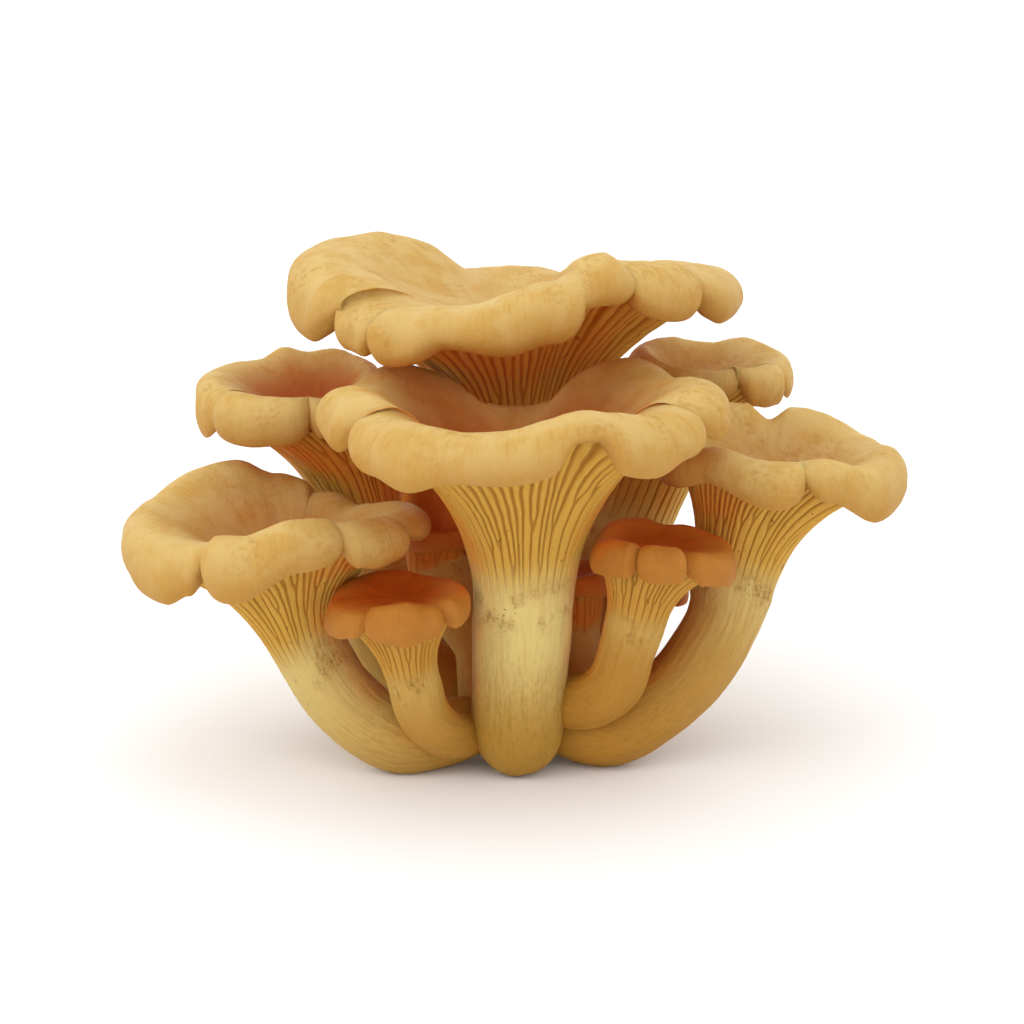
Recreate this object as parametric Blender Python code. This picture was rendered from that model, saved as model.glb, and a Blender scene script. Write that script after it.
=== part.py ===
"""A cluster of golden chanterelles grown from one foot, picked and stood on a table.

Each mushroom is one closed solid: a curved stem, a funnel ringed with blunt ridges, a
rolled and lobed rim, and a cap that dips to a throat in the middle. Tables are in
millimetres, angles in degrees counted from +X towards +Y, and the front faces -Y.
"""
import bpy
import bmesh
import numpy as np
from math import radians

MM = 0.001                # metres in a millimetre
JOIN_GAP = 0.3            # clearance kept where two stems have grown against each other
MIDDLE = np.array([0.2, 13.49, 0.0])    # middle of the cluster's outline, set at the origin

# Rim section, as shares of the reach outwards and of the height from edge to crest.
UNDER_RIM = (0.86, 0.42)
ROLLED_EDGE = [(0.905, 0.12), (0.957, 0.0), (1.0, 0.26), (0.985, 0.58), (0.925, 0.88)]
CREST_SHARE = 0.83

# Funnel curve from the neck to the rim: how far its two handles reach out and up.
NECK_HANDLE = 0.44
FLARE_OUT, FLARE_UP = 0.41, 0.77

# Rings of the cap's upper face, as shares of the crest's reach, with their point counts
# as shares of the ridged rings' count.
TOP_RINGS = [(0.84, 0.72), (0.60, 0.5), (0.36, 0.34), (0.15, 0.2)]
DISH_POWER = 1.9          # how long the cap stays flat round the throat
THROAT_LEAN = 0.35        # how far the throat moves from mid cap towards the neck

STEM_SIDES = 16           # points round a stem
STEM_STEP = 7.0           # millimetres between stem rings
FUNNEL_RINGS = [0.0, 0.18, 0.40, 0.62, 0.84, 1.0]
RIDGE_HEIGHT = 0.34       # ridge height as a share of the spacing between ridges
RIDGE_LIMIT = 0.021       # tallest ridge above the middle line, as a share of the reach
RIDGE_STARTS, RIDGE_ENDS = 0.16, 0.14   # shares of the funnel over which ridges fade

# Rings under the first stem ring: (share of its radius, millimetres up the stem) on a
# foot that stands, and (share of its radius, share of it down the stem) on one that
# grows from the side of a neighbour.
STANDING_FOOT = [(0.80, 1.1), (0.96, 3.2)]
SIDE_FOOT = [(0.45, -0.35), (0.85, -0.2)]

FOLD_POWER = 0.8          # how sharply the rim cuts in at a fold
ROW_PULL = 0.9            # how far a ring's nearest point moves onto each row of the rim
FINE_RING = 40            # rings with more points than this follow the rim's rows
CUTTER_START = 2.0        # how far a cutter's tube starts below the foot, in gaps

# Every mushroom: its stem as (x, y, z, radius) from foot to neck, the middle of its cap,
# the height of its throat, how many ridges it has, and its rim. A rim row is (angle,
# reach, crest height, edge height, kind): "lobe" swells, "fold" cuts in sharply where
# two lobes meet, and "dip" is a soft hollow.
MUSHROOMS = {
    "mushroom_front": dict(
        stem=[(0.2, -5, 0, 8.4), (0.3, -5, 8, 9.2), (0.7, -5, 20, 9.5),
              (1.3, -5, 35, 10.0)],
        flat=4.0, centre=(0.5, -5), throat=63, ridges=36,
        rim=[(192, 41.5, 78.5, 70.5, "lobe"), (212, 36, 77, 75, "fold"),
             (236, 41.5, 77, 65.6, "lobe"), (252, 40.5, 76, 67.8, "dip"),
             (266, 41, 77, 67.8, "lobe"), (279, 41, 78.8, 69.6, "lobe"),
             (286, 39.5, 79.8, 75, "dip"), (292.5, 39, 80, 75, "dip"),
             (299, 40.7, 79.5, 68.8, "lobe"), (310, 41, 78.5, 67.4, "lobe"),
             (322, 41, 78, 69.6, "lobe"), (333, 37, 77.5, 74.3, "fold"),
             (352, 42, 79, 71.3, "lobe"), (22, 36.5, 78.5, 74, "dip"),
             (43, 37.5, 81.3, 74.5, "lobe"), (58, 30, 78.5, 73, "lobe"),
             (68, 21, 73, 69.3, "dip"), (95, 20.5, 72, 68.6, "lobe"),
             (115, 21, 73, 69.3, "dip"), (127, 33, 78, 73, "lobe"),
             (143, 38, 80.3, 74, "lobe"), (165, 36.5, 77.3, 73.5, "dip")]),
    "mushroom_top": dict(
        stem=[(0, 27, 0, 8.2), (0, 27.3, 10, 8.6), (0, 29.5, 25, 8.8),
              (0, 36.3, 47.5, 9.4)],
        flat=4.0, centre=(0, 38), throat=82, ridges=36,
        rim=[(178, 48, 101.8, 92.5, "lobe"), (203, 48.4, 98, 83.8, "lobe"),
             (219, 43.4, 94, 88, "fold"), (226, 46.4, 92.5, 83, "lobe"),
             (232, 44.4, 92, 85, "fold"), (240, 47, 93, 81.6, "lobe"),
             (252, 45.4, 94.5, 86.5, "dip"), (267, 46.4, 96.4, 85, "lobe"),
             (279, 45.4, 98.5, 87.2, "lobe"), (288, 42.4, 99.5, 93.5, "fold"),
             (297, 45.4, 103.2, 94.2, "lobe"), (304.5, 43.4, 101, 96.3, "fold"),
             (316, 47, 100.8, 90, "lobe"), (322, 45.4, 98.8, 91.6, "dip"),
             (335, 48.4, 98.4, 87.9, "lobe"), (358, 48, 98, 88.8, "lobe"),
             (20, 42.4, 97, 90, "dip"), (45, 38.4, 96, 88.5, "lobe"),
             (68, 34, 92, 86, "fold"), (92, 35, 93, 85.5, "lobe"),
             (112, 35, 94.5, 88, "dip"), (130, 38.4, 100.5, 91.5, "lobe"),
             (152, 42.5, 102.8, 94.5, "lobe")]),
    "mushroom_left_lower": dict(
        stem=[(-4, -4, 7.3, 7.0), (-14, -4, 7.2, 7.4), (-23, -4, 7.3, 7.5),
              (-31, -3.5, 10.5, 7.5), (-38, -2.5, 17, 7.6), (-43.3, -1, 25.5, 8.1)],
        flat=0, centre=(-48, 3), throat=41, ridges=32,
        rim=[(180, 31.2, 53, 44.5, "lobe"), (205, 31.4, 52.3, 41.5, "lobe"),
             (229, 31.8, 50.5, 39, "lobe"), (247, 27.5, 51, 48.5, "fold"),
             (259, 31.5, 53.3, 41, "lobe"), (284, 31, 56.5, 47, "lobe"),
             (299, 26.5, 54, 51.5, "fold"), (315, 31.5, 54.8, 45.4, "lobe"),
             (333, 28, 51.5, 49, "fold"), (351, 31, 53.5, 47.5, "lobe"),
             (12, 29.5, 53, 48, "dip"), (30, 25, 51.5, 46.5, "lobe"),
             (50, 25, 49.8, 45.5, "dip"), (63, 25.5, 50.8, 45.5, "lobe"),
             (76, 24.5, 49.8, 45.8, "fold"), (97, 26, 54.3, 47, "lobe"),
             (120, 27.5, 57.5, 49.5, "lobe"), (148, 28.5, 56.5, 48.5, "lobe"),
             (162, 29.5, 54, 47.5, "dip")]),
    "mushroom_right_lower": dict(
        stem=[(5, -3.5, 7.5, 7.0), (16.5, -2.5, 7.35, 7.5), (22.1, -1.7, 8.6, 7.6),
              (32.8, 0.5, 15.6, 7.6), (38.6, 3, 22, 7.7), (43, 5.5, 29, 8.1),
              (44.6, 7, 34, 8.6)],
        flat=0, centre=(55.3, 10), throat=53, ridges=32,
        rim=[(180, 24.3, 64.3, 57.3, "lobe"), (205, 24, 65.8, 58.3, "lobe"),
             (222, 23, 66.8, 60.3, "dip"), (256, 24.5, 65, 56, "lobe"),
             (269, 20.5, 64.6, 62, "fold"), (283, 23.5, 65.3, 57.5, "lobe"),
             (310, 25.3, 63.5, 52.6, "lobe"), (336, 24.4, 63.3, 54.3, "lobe"),
             (0, 24.3, 64.6, 57, "lobe"), (20, 23.8, 65, 58, "dip"),
             (36, 24, 67, 58.5, "lobe"), (62, 22.5, 69.2, 60.5, "lobe"),
             (93, 20, 67, 61, "fold"), (112, 21.5, 69.6, 61, "lobe"),
             (135, 22, 70.3, 61, "lobe"), (160, 23, 67, 59, "dip")]),
    "mushroom_left_upper": dict(
        stem=[(-3, 24, 5.6, 5.2), (-10, 24, 5.2, 5.4), (-17, 25, 7, 5.5),
              (-24, 27.5, 12.5, 5.5), (-28.3, 30, 21, 5.6), (-29.3, 32.5, 30, 5.8),
              (-31.8, 34.5, 38, 6.2), (-35.8, 36, 45, 6.9)],
        flat=0, centre=(-46.5, 38), throat=63, ridges=26,
        rim=[(187, 22.3, 74.3, 66.5, "lobe"), (214, 23, 73.3, 62.6, "lobe"),
             (230, 23.2, 73, 63.4, "dip"), (248, 24, 72.8, 62.4, "lobe"),
             (273, 21.5, 72.3, 66, "fold"), (288, 22.3, 71.8, 64.3, "lobe"),
             (306, 19.3, 72.3, 67, "fold"), (330, 18.5, 73.5, 68, "lobe"),
             (5, 18.5, 74, 69, "dip"), (45, 20, 75.3, 69, "lobe"),
             (70, 20.5, 76.5, 69.5, "lobe"), (90, 19.5, 75.2, 70, "fold"),
             (107, 21, 76.2, 69.5, "lobe"), (126, 20, 74.2, 69, "dip"),
             (150, 22.3, 75, 68, "lobe"), (168, 23, 74.2, 68.5, "dip")]),
    "mushroom_right_upper": dict(
        stem=[(12, 31, 0, 5.4), (12.5, 31, 8, 5.5), (16, 32, 18, 5.7),
              (20.8, 34.5, 29, 5.9), (26, 38, 40, 6.5), (31, 42, 48.5, 7.0)],
        flat=2.6, centre=(44.8, 47), throat=69.5, ridges=24,
        rim=[(0, 16.5, 76.3, 69.3, "lobe"), (340, 16.3, 76.3, 68, "lobe"),
             (321, 16.3, 76, 69.3, "dip"), (303, 18, 76.3, 66.6, "lobe"),
             (277, 15.5, 76.3, 71.3, "fold"), (255, 16, 75.5, 69, "lobe"),
             (228, 17.5, 75.8, 70, "dip"), (200, 20, 76.3, 71, "lobe"),
             (165, 20.5, 77, 71.3, "lobe"), (135, 18.5, 78.3, 71.5, "lobe"),
             (97, 15.5, 75.5, 70.5, "fold"), (62, 17, 77.5, 70.3, "lobe"),
             (28, 17, 77, 70, "dip")]),
    "mushroom_small_left": dict(
        stem=[(-4, -7.5, 8, 4.8), (-9.5, -8.5, 7.9, 4.9), (-14, -10.2, 9.4, 5.1),
              (-18.2, -12.4, 14.5, 5.1), (-20.2, -13.6, 22, 5.2)],
        flat=0, centre=(-22.6, -14), throat=37, ridges=20,
        rim=[(185, 14.8, 39, 32.3, "lobe"), (214, 13.5, 38.5, 33.6, "lobe"),
             (228, 11.5, 38.6, 36.3, "fold"), (262, 14.8, 41, 33.7, "lobe"),
             (299, 12, 40, 36.8, "fold"), (320, 14, 40.5, 34.8, "lobe"),
             (350, 13.9, 41, 35.5, "lobe"), (20, 13.4, 41, 36, "lobe"),
             (60, 12.5, 40.8, 36.2, "dip"), (95, 13.3, 41.6, 36.3, "lobe"),
             (132, 13.6, 41.3, 35.8, "lobe"), (165, 14, 40.3, 34.8, "dip")]),
    "mushroom_small_right": dict(
        stem=[(4, -6, 14.3, 5.2), (11, -7.4, 14.3, 5.5), (16.3, -8.3, 16.2, 5.7),
              (20.2, -8.8, 20.5, 5.8), (22.8, -9, 26.5, 5.9), (24.1, -9, 32, 6.3)],
        flat=0, centre=(28.2, -9), throat=44.5, ridges=20,
        rim=[(184, 13.8, 49.5, 43.2, "lobe"), (213, 13.8, 50.8, 43.8, "lobe"),
             (235, 13.5, 51, 44.2, "lobe"), (248, 11.3, 50, 46.5, "fold"),
             (268, 14.2, 51.5, 44, "lobe"), (287, 13.6, 50, 44.2, "lobe"),
             (296, 11.3, 48.5, 46, "fold"), (314, 14.6, 48.6, 42.2, "lobe"),
             (345, 15.3, 48, 41.2, "lobe"), (10, 14.8, 49, 43.3, "lobe"),
             (38, 13.3, 49.6, 44.5, "dip"), (58, 13.3, 50, 44.8, "lobe"),
             (80, 12.3, 49.8, 45.6, "fold"), (105, 13.3, 51.2, 45.6, "lobe"),
             (135, 13.6, 51.3, 45.3, "lobe"), (160, 13.3, 50.6, 44.6, "dip")]),
    "mushroom_inner_left": dict(
        stem=[(-4, 10, 0, 6.0), (-5.5, 10, 7, 5.4), (-6.8, 10, 13, 4.6),
              (-8.6, 11, 21, 4.2), (-12, 13.5, 29, 3.8), (-17, 18, 38.5, 3.4)],
        flat=2.4, centre=(-18, 19.5), throat=47, ridges=12,
        rim=[(180, 7, 49.5, 45, "lobe"), (240, 7.5, 49, 44.6, "lobe"),
             (285, 6.4, 49.3, 45.8, "dip"), (330, 7.6, 49.3, 44.8, "lobe"),
             (15, 7, 49.5, 45.5, "dip"), (60, 8, 49.8, 45, "lobe"),
             (120, 7.6, 49.8, 45.2, "lobe")]),
    "mushroom_inner_right": dict(
        stem=[(5, 12, 0, 6.4), (6.5, 11.8, 7, 6.4), (9, 11, 14, 6.0),
              (11, 10.3, 21, 5.3), (11.6, 10, 26, 4.7)],
        flat=3.0, centre=(11.6, 10), throat=36.2, ridges=13,
        rim=[(0, 8.1, 38.6, 33.6, "lobe"), (318, 7.9, 38.3, 33.2, "lobe"),
             (285, 7.1, 38, 34, "dip"), (240, 6.6, 38.3, 33.8, "lobe"),
             (190, 7.4, 38.6, 33.8, "lobe"), (140, 8, 39, 33.8, "lobe"),
             (95, 7.6, 38.6, 34.2, "dip"), (45, 8.4, 38.9, 33.8, "lobe")]),
    "mushroom_back_right": dict(
        stem=[(9, 19, 4.4, 4.0), (14, 18.6, 5.6, 4.1), (19, 18.2, 9.5, 4.0),
              (24, 18.2, 16, 3.9), (27.3, 18.5, 23.5, 4.1)],
        flat=0, centre=(28.4, 18.6), throat=32.3, ridges=12,
        rim=[(0, 8.1, 34.3, 28.8, "lobe"), (320, 7.6, 34.3, 29, "lobe"),
             (292, 6.8, 34.3, 30, "fold"), (255, 8, 34.8, 29.6, "lobe"),
             (205, 7.8, 35, 30, "lobe"), (165, 7, 34.6, 30.6, "dip"),
             (120, 8.2, 35.2, 30, "lobe"), (75, 7.4, 34.6, 30.2, "dip"),
             (35, 8, 34.6, 29.4, "lobe")]),
}

# Stems listed later are hollowed to fit those listed earlier.
GROWTH_ORDER = ["mushroom_front", "mushroom_small_left", "mushroom_small_right",
                "mushroom_left_lower", "mushroom_right_lower", "mushroom_top",
                "mushroom_inner_right", "mushroom_inner_left", "mushroom_left_upper",
                "mushroom_right_upper", "mushroom_back_right"]

# Flesh colour of each mushroom, sRGB, and its roughness.
LIT_FLESH, SHADED_FLESH = (0.86, 0.66, 0.30), (0.74, 0.46, 0.16)
FLESH_ROUGHNESS = 0.72
SHARP_TURN = radians(40)  # creases sharper than this show as edges
SHADED = {"mushroom_small_left", "mushroom_small_right", "mushroom_inner_left",
          "mushroom_inner_right", "mushroom_back_right"}


def clear_scene():
    for old in list(bpy.data.objects):
        bpy.data.objects.remove(old, do_unlink=True)


def smooth_step(t):
    t = np.clip(t, 0.0, 1.0)
    return t * t * (3.0 - 2.0 * t)


def rim_values(rim, angles):
    """Reach, crest and edge height of the rim at each angle."""
    rows = sorted(rim)
    table = np.array([row[:4] for row in rows], float)
    kinds = [row[4] for row in rows]
    count = len(rows)
    values = np.zeros((len(angles), 3))
    for i, angle in enumerate(np.asarray(angles) % 360.0):
        after = int(np.searchsorted(table[:, 0], angle, side="right")) % count
        before = (after - 1) % count
        span = (table[after, 0] - table[before, 0]) % 360.0
        t = ((angle - table[before, 0]) % 360.0) / span
        share = smooth_step(t)
        if kinds[before] == "fold":
            share = np.sin(t * np.pi / 2.0) ** FOLD_POWER
        elif kinds[after] == "fold":
            share = 1.0 - np.sin((1.0 - t) * np.pi / 2.0) ** FOLD_POWER
        values[i] = table[before, 1:] * (1.0 - share) + table[after, 1:] * share
    return values.T


def ring_angles(rim, count):
    """Even angles round the cap, with the nearest one moved onto each row of the rim."""
    angles = np.arange(count) * 360.0 / count
    for row in rim:
        nearest = int(round(row[0] / 360.0 * count)) % count
        turn = (row[0] - angles[nearest] + 180.0) % 360.0 - 180.0
        angles[nearest] += turn * ROW_PULL
    return angles


def stem_curve(rows, step):
    """Points, radii and directions along the smooth curve through the stem's rows."""
    rows = np.array(rows, float)
    padded = np.vstack([2 * rows[0] - rows[1], rows, 2 * rows[-1] - rows[-2]])
    points = []
    for k in range(1, len(padded) - 2):
        a, b, c, d = padded[k - 1:k + 3]
        pieces = max(1, int(round(np.linalg.norm(c[:3] - b[:3]) / step)))
        for t in np.arange(pieces) / pieces:
            points.append(0.5 * (2 * b + (c - a) * t + (2 * a - 5 * b + 4 * c - d) * t ** 2
                                 + (3 * b - a - 3 * c + d) * t ** 3))
    points.append(rows[-1])
    points = np.array(points)
    heading = np.gradient(points[:, :3], axis=0)
    heading /= np.linalg.norm(heading, axis=1)[:, None]
    return points[:, :3], points[:, 3], heading


def circle(centre, radius, heading, angles):
    """A round section square to the stem, its angles matching those of the cap."""
    side = np.array([0.0, 1.0, 0.0]) - heading * heading[1]
    side /= np.linalg.norm(side)
    across = np.cross(side, heading)
    turn = np.radians(angles)[:, None]
    return centre + radius * (np.cos(turn) * across + np.sin(turn) * side)


def foot_rings(shape, angles):
    """Rings that close the foot, on a flat spot where the stem stands on its end."""
    centres, radii, heading = stem_curve(shape["stem"], STEM_STEP)
    start, radius, way = centres[0], radii[0], heading[0]
    if shape["flat"]:
        rings = [(shape["flat"], 0.0)]
        rings += [(radius * share, up) for share, up in STANDING_FOOT]
    else:
        rings = [(radius * share, radius * down) for share, down in SIDE_FOOT]
    return [circle(start + way * along, size, way, angles) for size, along in rings]


def ridge_relief(grid, angles, ridges, shares, tallest):
    """The funnel's rings with ridges raised from them, dying out at neck and rim."""
    around = np.roll(grid, -1, axis=1) - np.roll(grid, 1, axis=1)
    along = np.gradient(grid, axis=0)
    outward = np.cross(around, along)
    outward /= np.linalg.norm(outward, axis=2)[:, :, None]
    middle = grid.mean(axis=1)[:, None, :]
    spacing = np.linalg.norm(grid - middle, axis=2) * 2.0 * np.pi / ridges
    height = np.minimum(spacing * RIDGE_HEIGHT, tallest)
    shares = np.asarray(shares)[:, None]
    fade = smooth_step(shares / RIDGE_STARTS) * smooth_step((1.0 - shares) / RIDGE_ENDS)
    crown = np.where(np.arange(len(angles)) % 2 == 0, 1.0, -1.0)[None, :]
    return grid + outward * (height * fade * crown)[:, :, None]


def funnel_rings(shape, angles):
    """Ridged rings from the neck out to the underside of the rim."""
    centres, radii, heading = stem_curve(shape["stem"], STEM_STEP)
    neck = circle(centres[-1], radii[-1], heading[-1], angles)
    rim = rim_ring(shape, angles, *UNDER_RIM)
    rise = (rim[:, 2] - neck[:, 2])[:, None]
    first = neck + heading[-1] * NECK_HANDLE * rise
    second = neck + (rim - neck) * np.array([FLARE_OUT, FLARE_OUT, FLARE_UP])
    rings = []
    for t in FUNNEL_RINGS:
        u = 1.0 - t
        rings.append(u ** 3 * neck + 3 * u * u * t * first + 3 * u * t * t * second
                     + t ** 3 * rim)
    tallest = RIDGE_LIMIT * max(row[1] for row in shape["rim"])
    return ridge_relief(np.array(rings), angles, shape["ridges"], FUNNEL_RINGS, tallest)


def rim_ring(shape, angles, reach_share, height_share):
    reach, crest, edge = rim_values(shape["rim"], angles)
    turn = np.radians(angles)
    x, y = shape["centre"]
    return np.column_stack([x + reach * reach_share * np.cos(turn),
                            y + reach * reach_share * np.sin(turn),
                            edge + (crest - edge) * height_share])


def throat_point(shape):
    centre, neck = np.array(shape["centre"], float), np.array(shape["stem"][-1][:2])
    return (*(centre + (neck - centre) * THROAT_LEAN), shape["throat"])


def top_ring(shape, angles, share):
    """A ring of the dished upper face, from the crest (1) down to the throat (0)."""
    crest = rim_ring(shape, angles, CREST_SHARE, 1.0)
    throat = np.array(throat_point(shape))
    ring = crest * share
    ring[:, :2] += throat[:2] * (1.0 - share)
    ring[:, 2] = throat[2] + (crest[:, 2] - throat[2]) * share ** DISH_POWER
    return ring


def zip_rings(mesh, lower, upper):
    """Faces between two closed rings of (angle, vertex), whatever their counts."""
    i = j = 0
    while i < len(lower) or j < len(upper):
        low_turn = lower[i + 1][0] if i + 1 < len(lower) else 360.0 + lower[0][0]
        high_turn = upper[j + 1][0] if j + 1 < len(upper) else 360.0 + upper[0][0]
        low, high = lower[i % len(lower)][1], upper[j % len(upper)][1]
        take_lower = i < len(lower) and (j >= len(upper) or low_turn <= high_turn)
        if take_lower:
            mesh.faces.new((low, lower[(i + 1) % len(lower)][1], high))
            i += 1
        else:
            mesh.faces.new((low, upper[(j + 1) % len(upper)][1], high))
            j += 1


def loft(name, rings, first_pole, last_pole):
    """One closed solid through rings of (angles, points), with a pole at each end."""
    mesh = bmesh.new()
    loops = []
    for angles, points in rings:
        verts = [mesh.verts.new((point - MIDDLE) * MM) for point in points]
        loops.append(list(zip(angles, verts)))
    for lower, upper in zip(loops, loops[1:]):
        zip_rings(mesh, lower, upper)
    for pole, loop, flip in ((first_pole, loops[0], True), (last_pole, loops[-1], False)):
        tip = mesh.verts.new((np.asarray(pole, float) - MIDDLE) * MM)
        for k, (_, vert) in enumerate(loop):
            after = loop[(k + 1) % len(loop)][1]
            mesh.faces.new((after, vert, tip) if flip else (vert, after, tip))
    data = bpy.data.meshes.new(name)
    mesh.to_mesh(data)
    mesh.free()
    thing = bpy.data.objects.new(name, data)
    bpy.context.scene.collection.objects.link(thing)
    return thing


def grow(name, shape):
    """One whole mushroom, from the foot up the stem and over the cap to the throat."""
    stem_angles = np.arange(STEM_SIDES) * 360.0 / STEM_SIDES
    cap_angles = ring_angles(shape["rim"], shape["ridges"] * 2)
    centres, radii, heading = stem_curve(shape["stem"], STEM_STEP)
    rings = [(stem_angles, ring) for ring in foot_rings(shape, stem_angles)]
    first_ring = 1 if shape["flat"] else 0
    for k in range(first_ring, len(centres) - 1):
        rings.append((stem_angles, circle(centres[k], radii[k], heading[k], stem_angles)))
    for ring in funnel_rings(shape, cap_angles):
        rings.append((cap_angles, ring))
    for out, up in ROLLED_EDGE + [(CREST_SHARE, 1.0)]:
        rings.append((cap_angles, rim_ring(shape, cap_angles, out, up)))
    for share, count_share in TOP_RINGS:
        count = max(8, int(round(shape["ridges"] * 2 * count_share)))
        angles = np.arange(count) * 360.0 / count
        if count > FINE_RING:
            angles = ring_angles(shape["rim"], count)
        rings.append((angles, top_ring(shape, angles, share)))
    for _, points in rings:
        points[:, 2] = np.maximum(points[:, 2], 0.0)
    start = rings[0][1].mean(axis=0)
    return loft(name, rings, start, throat_point(shape))


def stem_cutter(name, shape):
    """A plain tube round the stem, wider by the gap, that shapes the stems beside it."""
    angles = np.arange(STEM_SIDES) * 360.0 / STEM_SIDES
    centres, radii, heading = stem_curve(shape["stem"], STEM_STEP)
    room = 1.0 / np.cos(np.pi / STEM_SIDES)
    rings = []
    for k, centre in enumerate(centres):
        size = radii[k] * room + JOIN_GAP
        shift = -CUTTER_START * JOIN_GAP if k == 0 else 0.0
        rings.append((angles, circle(centre + heading[k] * shift, size, heading[k],
                                     angles)))
    cutter = loft(name, rings, rings[0][1].mean(axis=0), rings[-1][1].mean(axis=0))
    cutter.hide_render = True
    cutter.display_type = "WIRE"
    return cutter


def flesh(name):
    colour = SHADED_FLESH if name in SHADED else LIT_FLESH
    material = bpy.data.materials.new(name + "_flesh")
    material.use_nodes = True
    shader = material.node_tree.nodes["Principled BSDF"]
    linear = [((c + 0.055) / 1.055) ** 2.4 for c in colour]
    shader.inputs["Base Color"].default_value = (*linear, 1.0)
    shader.inputs["Roughness"].default_value = FLESH_ROUGHNESS
    shader.inputs["Metallic"].default_value = 0.0
    return material


def build():
    clear_scene()
    cutters = []
    for name in GROWTH_ORDER:
        shape = MUSHROOMS[name]
        mushroom = grow(name, shape)
        mushroom.data.materials.append(flesh(name))
        mushroom.data.shade_smooth()
        mushroom.data.set_sharp_from_angle(angle=SHARP_TURN)
        for cutter in cutters:
            cut = mushroom.modifiers.new("beside_" + cutter.name, "BOOLEAN")
            cut.operation = "DIFFERENCE"
            cut.solver = "EXACT"
            cut.object = cutter
        cutters.append(stem_cutter("room_" + name, shape))


build()
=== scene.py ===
import math
from functools import partial

import bpy
import numpy as np
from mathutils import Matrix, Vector
from mathutils.bvhtree import BVHTree


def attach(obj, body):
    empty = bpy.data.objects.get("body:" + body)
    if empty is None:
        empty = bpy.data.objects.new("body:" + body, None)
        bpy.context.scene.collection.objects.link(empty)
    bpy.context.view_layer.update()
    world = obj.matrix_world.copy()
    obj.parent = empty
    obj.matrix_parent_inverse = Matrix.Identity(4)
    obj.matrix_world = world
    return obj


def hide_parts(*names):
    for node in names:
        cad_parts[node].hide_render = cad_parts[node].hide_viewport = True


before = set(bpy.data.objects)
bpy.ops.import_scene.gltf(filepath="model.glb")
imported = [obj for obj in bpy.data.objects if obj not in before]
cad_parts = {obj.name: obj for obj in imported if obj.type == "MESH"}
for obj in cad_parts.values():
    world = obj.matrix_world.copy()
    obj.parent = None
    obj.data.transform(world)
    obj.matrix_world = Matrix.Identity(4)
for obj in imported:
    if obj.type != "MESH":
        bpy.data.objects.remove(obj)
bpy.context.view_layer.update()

# A cluster of golden chanterelles, picked and stood on a pale table. Sizes are in
# millimetres and angles in degrees, counted from +X towards +Y, until a mesh is made.
print("frame loaded:", len(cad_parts), "nodes")

mm = 0.001
middle = np.array([0.2, 13.49, 0.0])    # the tables' own middle, which stands at the origin

# How every mushroom grows, whatever its size.
growth = dict(
    underRim=(0.86, 0.42),      # where ridges meet the rolled rim: shares of reach, height
    roll=[(0.905, 0.10), (0.955, 0.0), (0.992, 0.16), (1.0, 0.38), (0.978, 0.66),
          (0.915, 0.90)],
    crestShare=0.83,            # the rim's top stands at this share of the reach
    crowdBy=2.6,                # points stand this much closer at a fold,
    crowdReach=3.0,             # within so many degrees of it
    neckHandle=0.44,            # the funnel's curve: how long it goes on up the stem
    flareOut=0.41,
    flareUp=0.77,
    dishPower=1.35,             # a higher power digs a narrower throat
    ridgeShare=0.22,            # ridge height as a share of their spacing
    throatLean=0.35,            # the throat lies between mid cap and neck
    overlap=3.2,                # degrees by which a lobe's end slides past its neighbour
    foldReach=11.0,             # degrees over which that slide dies out
    slideStart=0.8,             # degrees past the fold within which the slide begins
    blur=9.0,                   # degrees over which folds fade inwards
    footProfile=[(0.0, 0.12), (0.4, 0.36), (1.2, 0.56), (2.4, 0.71), (4.0, 0.83),
                 (6.0, 0.915), (8.5, 0.975), (12.0, 1.0)],
)

# Rays that find how closed in each place is, for the painted shade that darkens and reddens
# it.
shading = dict(
    rays=28, reach=55.0,
    meshRows=3, rows=4, columns=12,     # every so many rings and points are tested
    standOff=0.9,                       # a ray starts this far above the skin
    touching=(1.5, 5.5),                # nearer things count as grown together, not shade
    goldenAngle=2.399963,
)


def smoothStep(t):
    t = np.clip(t, 0.0, 1.0)
    return t * t * (3.0 - 2.0 * t)


def turnGap(turns, centre):
    return (turns - centre + 180.0) % 360.0 - 180.0


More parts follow.
